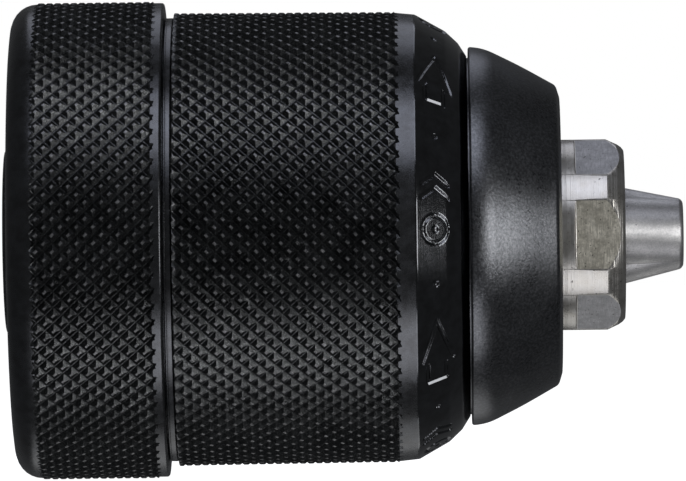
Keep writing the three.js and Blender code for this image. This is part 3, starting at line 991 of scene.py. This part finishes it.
def make_body():
    body = add_shape("body_turned", turned_body())
    for degrees in JAWS.values():
        combine(body, turned_by(jaw_bore(), math.radians(degrees)), "DIFFERENCE")
    combine(body, hexagon_waste(), "DIFFERENCE")
    place(body, "body", "machined_steel", "chuck_body", MACHINED)
    for material in (MILLED_PAINTED_LIT, MILLED_PAINTED_SHADE, BLACK_SMOOTH):
        body.data.materials.append(material)
    for polygon in body.data.polygons:
        polygon.material_index = body_finish(polygon.center / MM, polygon.normal)


def body_finish(middle, normal):
    """Which finish a face has: 0 turned, 1 and 2 milled flats in painted light and painted shade, 3 the
    blackened rear hub.
    """
    reach = middle.y * normal.y + middle.z * normal.z
    if middle.x > FLAT_START and abs(normal.x) < 0.001 and abs(reach - ACROSS_FLATS / 2) < 0.002:
        # painted light on the flats that face front and back, painted shade on the upper and lower flats
        return 1 if abs(normal.z) < 0.1 else 2
    return 3 if middle.x < 1 and math.hypot(middle.y, middle.z) > 7.5 else 0


def make_spindle_thread():
    """The 1/2 inch-20 thread in the rear hole."""
    pitch, start, turns = 25.4 / 20, 1.2, 12
    section = thread_section(5.69, 6.4, pitch * 0.09, pitch * 0.47)
    ridge = helical_ridge(section, lambda along, out: (along + start, out), turns, pitch)
    add_piece("spindle_thread", ridge, "body", "machined_steel", "chuck_body", MACHINED)


def race_shape(back, front, groove_ahead):
    """A bearing ring with a ball groove in one face."""
    inner, outer, middle, half, depth = 15.5, 19.8, 17.65, 0.75, 0.22
    corners = [
        (back, inner, 0.15), (back, outer, 0.15), (front, outer, 0.15), (front, middle + half, 0),
        (front - depth, middle, 0), (front, middle - half, 0), (front, inner, 0.15),
    ]
    if not groove_ahead:
        corners = [(back + front - x, r, rounding) for x, r, rounding in corners[::-1]]
    return lathed(corners, 3)


def make_races():
    rear = race_shape(*stations("rear_race"), True)
    add_piece("rear_race_ring", rear, "body", "bearing_steel", "rear_race", POLISHED)
    front = race_shape(*stations("front_race"), False)
    add_piece("front_race_ring", front, "drive", "bearing_steel", "front_race", POLISHED)


# ---- pieces that turn with the front sleeve ----


def make_front_grip():
    start, end = FRONT_KNURL["start"], FRONT_KNURL["end"]
    corners = [
        (18.14, BORE_OVER_SPIGOT, 0.2), (18.14, grip_radius(FRONT_KNURL, start) + CLEAR, 0.12),
        (end - GRIP_LEAD, grip_radius(FRONT_KNURL, end) + CLEAR, 0), (end, GRIP_END_RADIUS, 0),
        (end + RUN_OUT, front_band(end + RUN_OUT), 0), (COLLAR_START, front_band(COLLAR_START), 0),
        (COLLAR_START, BORE_OVER_NUT, 0), (33.0, BORE_OVER_NUT, 0.2),
        (33.0, BORE_OVER_BEARING, 0.2), (23.0, BORE_OVER_BEARING, 0.2),
        (23.0, BORE_OVER_SPIGOT, 0.2),
    ]
    placing = "drive", "black_steel", "front_sleeve", FRONT_GRIP
    add_knurled_sleeve("front_grip_sleeve", FRONT_KNURL, rounded(corners), *placing)


def nut_bore(x):
    """The radius of the nut's bore at a station, clear of the jaws' backs."""
    out = JAW_RADIUS + 0.3
    return (JAW_MEET - x) * math.tan(JAW_ANGLE) + out / math.cos(JAW_ANGLE)


def nut_ridge():
    """The tapered thread that the jaws' teeth run in."""
    flank = (TOOTH_TOP - TOOTH_BOTTOM) / 2 / TOOTH_DEPTH
    crest, root = JAW_RADIUS - TOOTH_DEPTH + CREST_PLAY, JAW_RADIUS + 0.6
    widths = [TOOTH_TOP / 2 - THREAD_PLAY + (out - JAW_RADIUS) * flank for out in (crest, root)]
    section = thread_section(crest, root, *widths)
    return helical_ridge(
        section, lambda along, out: jaw_place(RIDGE_START + along, out), 3, -TOOTH_PITCH
    )


def make_nut_half(name, side):
    """One half of the nut: the upper one for side 1, the lower one for side -1."""
    outer, reach, half_slit = 18.3, 20, 0.15
    corners = [
        (NUT_BACK, nut_bore(NUT_BACK), 0.05), (NUT_BACK, outer, 0.3),
        (NUT_FRONT, outer, 0.3), (NUT_FRONT, nut_bore(NUT_FRONT), 0.05),
    ]
    half = add_shape(name + "_cut", lathed(corners, 3, 128))
    combine(half, nut_ridge(), "UNION")
    across = [(-reach, half_slit), (reach, half_slit), (reach, reach), (-reach, reach)]
    start, depth = (NUT_BACK if side > 0 else NUT_FRONT), NUT_FRONT - NUT_BACK
    axes = ((0, 1, 0), (0, 0, side), (side, 0, 0))
    combine(half, prism(across, axes, (start, 0, 0), depth), "INTERSECT")
    place(half, "drive", "jaw_steel", name, NUT_STEEL)


def plain_ring(name, ends, radii, inner_rounding):
    """A ring with rounded edges between two stations and two radii."""
    (back, front), (inner, outer) = ends, radii
    corners = [
        (back, inner, inner_rounding), (back, outer, 0.2),
        (front, outer, 0.2), (front, inner, inner_rounding),
    ]
    return add_shape(name, lathed(corners, 3, 160))


def make_nut_band():
    back, front = stations("nut_band")
    band = plain_ring("nut_band_ring", (back, front), (18.6, 19.7), 0.1)
    side, foot, height = 2.8, 19.1, 2.2
    outline = [(back, -side), (front, -side), (front, side), (back, side)]
    lug = prism(outline, XYZ, (0, 0, foot), height)
    combine(band, merged([turned_by(lug, k * math.pi / 2) for k in range(4)]), "UNION")
    place(band, "drive", "machined_steel", "nut_band", NUT_STEEL)


# ---- the bearing ----


def ball_place(name):
    """The middle and the radius of a CAD ball."""
    low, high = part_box(name)
    return (low + high) / 2 / MM, (high.x - low.x) / 2 / MM


def ball_shape(middle, radius):
    """A ball with its poles in the direction of X."""
    levels, sides = 14, 24
    angles = [math.pi * k / levels for k in range(1, levels)]
    turns = even_turns(sides)
    points = [around(-radius * math.cos(level), radius * math.sin(level), turns) for level in angles]
    points = np.vstack([*points, [(-radius, 0, 0), (radius, 0, 0)]]) + np.array(middle)
    rings = ring_numbers(levels - 1, sides)
    rear, front = len(points) - 2, len(points) - 1
    first, last = rings[0], rings[-1]
    faces = skin(rings)
    faces += [(rear, first[(k + 1) % sides], first[k]) for k in range(sides)]
    faces += [(last[k], last[(k + 1) % sides], front) for k in range(sides)]
    return points, faces


def make_balls():
    for name in BALLS:
        ball = ball_shape(*ball_place(name))
        add_piece(name + "_polished", ball, "bearing", "bearing_steel", name, POLISHED)


def make_cage():
    cage = plain_ring("ball_cage_ring", stations("ball_cage"), (15.7, 19.6), 0.2)
    outline, depth = round_outline(1.6, 32), 4
    pockets = []
    for name in BALLS:
        middle = ball_place(name)[0]
        pockets.append(prism(outline, YZX, (middle.x - depth / 2, middle.y, middle.z), depth))
    combine(cage, merged(pockets), "DIFFERENCE")
    place(cage, "bearing", "cage_brass", "ball_cage", BRASS)


make_rear_sleeve()
make_guide_ring()
make_nose_cap()
make_body()
make_spindle_thread()
make_races()
make_front_grip()
add_piece(
    "front_sleeve_collar", marked_collar(), "drive", "black_steel", "front_sleeve", COLLAR_BLACK
)
make_nut_half("nut_half_1", 1)
make_nut_half("nut_half_2", -1)
make_nut_band()
make_cage()
make_balls()
for jaw_name, jaw_degrees in JAWS.items():
    make_jaw(jaw_name, jaw_degrees)

# ---- floor, lights and camera ----

STAGE_WHITE = (0.9, 0.9, 0.9)
LOOK_AT = Vector((0.0357, 0, -0.0003))
CAMERA_DISTANCE = 1.035
CAMERA_STATION = 0.045  # where the camera stands beside the chuck, so it looks slightly back
CAMERA_ROLL = math.radians(0.7)
CAMERA_WIDTH = math.radians(4.02)


def make_floor():
    """A seamless white floor just under the chuck, kept out of reflections and shadows."""
    level = cad_bounds[0][2] / MM - 0.2
    half = 4000
    corners = [(x * half, y * half, level) for x, y in ((-1, -1), (1, -1), (1, 1), (-1, 1))]
    floor = add_shape("floor", (corners, [(0, 1, 2, 3)]))
    material = bpy.data.materials.new("white_floor")
    material.use_nodes = True
    shader = material.node_tree.nodes["Principled BSDF"]
    set_input(shader, "Base Color", (*STAGE_WHITE, 1))
    set_input(shader, "Roughness", 0.9)
    set_input(shader, "Emission Color", (1, 1, 1, 1))
    set_input(shader, "Emission Strength", 1.0)
    floor.data.materials.append(material)
    floor.visible_glossy = False
    floor.visible_diffuse = False
    floor.visible_shadow = False


def soft_box(name, elevation, distance, size, radiance, color=(1, 1, 1), azimuth=0, shift=0):
    """An area light that faces the chuck; past 90 degrees of elevation it is on the far side.

    The azimuth turns it toward the jaws. The shift moves it along the chuck's axis.
    """
    side, up = math.radians(azimuth), math.radians(elevation)
    direction = Vector((math.sin(side), -math.cos(side) * math.cos(up), math.cos(side) * math.sin(up)))
    light = bpy.data.lights.new(name, "AREA")
    light.shape = "RECTANGLE"
    light.size, light.size_y = size
    light.energy = radiance * math.pi * size[0] * size[1]
    light.color = color
    lamp = bpy.data.objects.new(name, light)
    lamp.location = LOOK_AT + direction * distance + Vector((shift, 0, 0))
    lamp.rotation_euler = direction.to_track_quat("Z", "Y").to_euler()
    lamp.visible_camera = False
    bpy.context.scene.collection.objects.link(lamp)


def make_lights():
    cool, neutral, daylight = (0.93, 0.96, 1.1), (0.98, 0.98, 1.03), (1.0, 1.0, 1.01)
    soft_box("upper_box", 58, 0.6, (0.35, 0.38), 1.65, cool, shift=0.06)
    soft_box("lower_box", -57, 0.6, (0.35, 0.38), 1.55, neutral, shift=0.06)
    soft_box("upper_back_box", 126, 0.6, (0.34, 0.36), 0.75, cool)
    soft_box("lower_back_box", -125, 0.6, (0.34, 0.36), 0.65)
    soft_box("side_box", 2, 0.7, (0.23, 0.36), 5.2, daylight, azimuth=45)


def make_world():
    """White where the camera sees it, and a dim grey studio for everything else."""
    world = bpy.data.worlds.new("studio")
    bpy.context.scene.world = world
    world.use_nodes = True
    tree = world.node_tree
    seen = tree.nodes["Background"]
    set_input(seen, "Color", (1, 1, 1, 1))
    room = add_node(tree, "Background", {"Color": (0.07, 0.072, 0.075, 1)})[0]
    camera_ray = add_node(tree, "LightPath", {})["Is Camera Ray"]
    mixed = add_node(tree, "MixShader", {0: camera_ray, 1: room, 2: seen.outputs[0]})[0]
    tree.links.new(mixed, tree.nodes["World Output"].inputs[0])


def make_camera():
    data = bpy.data.cameras.new("camera")
    data.sensor_width = 36
    data.lens = data.sensor_width / 2 / math.tan(CAMERA_WIDTH / 2)
    data.clip_start = 0.05
    data.clip_end = 20
    camera = bpy.data.objects.new("camera", data)
    spot = Vector((CAMERA_STATION, -CAMERA_DISTANCE, LOOK_AT.z))
    view = (LOOK_AT - spot).to_track_quat("-Z", "Y").to_matrix().to_4x4()
    camera.matrix_world = Matrix.Translation(spot) @ view @ Matrix.Rotation(-CAMERA_ROLL, 4, "Z")
    bpy.context.scene.collection.objects.link(camera)
    bpy.context.scene.camera = camera


make_floor()
make_lights()
make_world()
make_camera()
bpy.context.scene.view_settings.view_transform = "Standard"
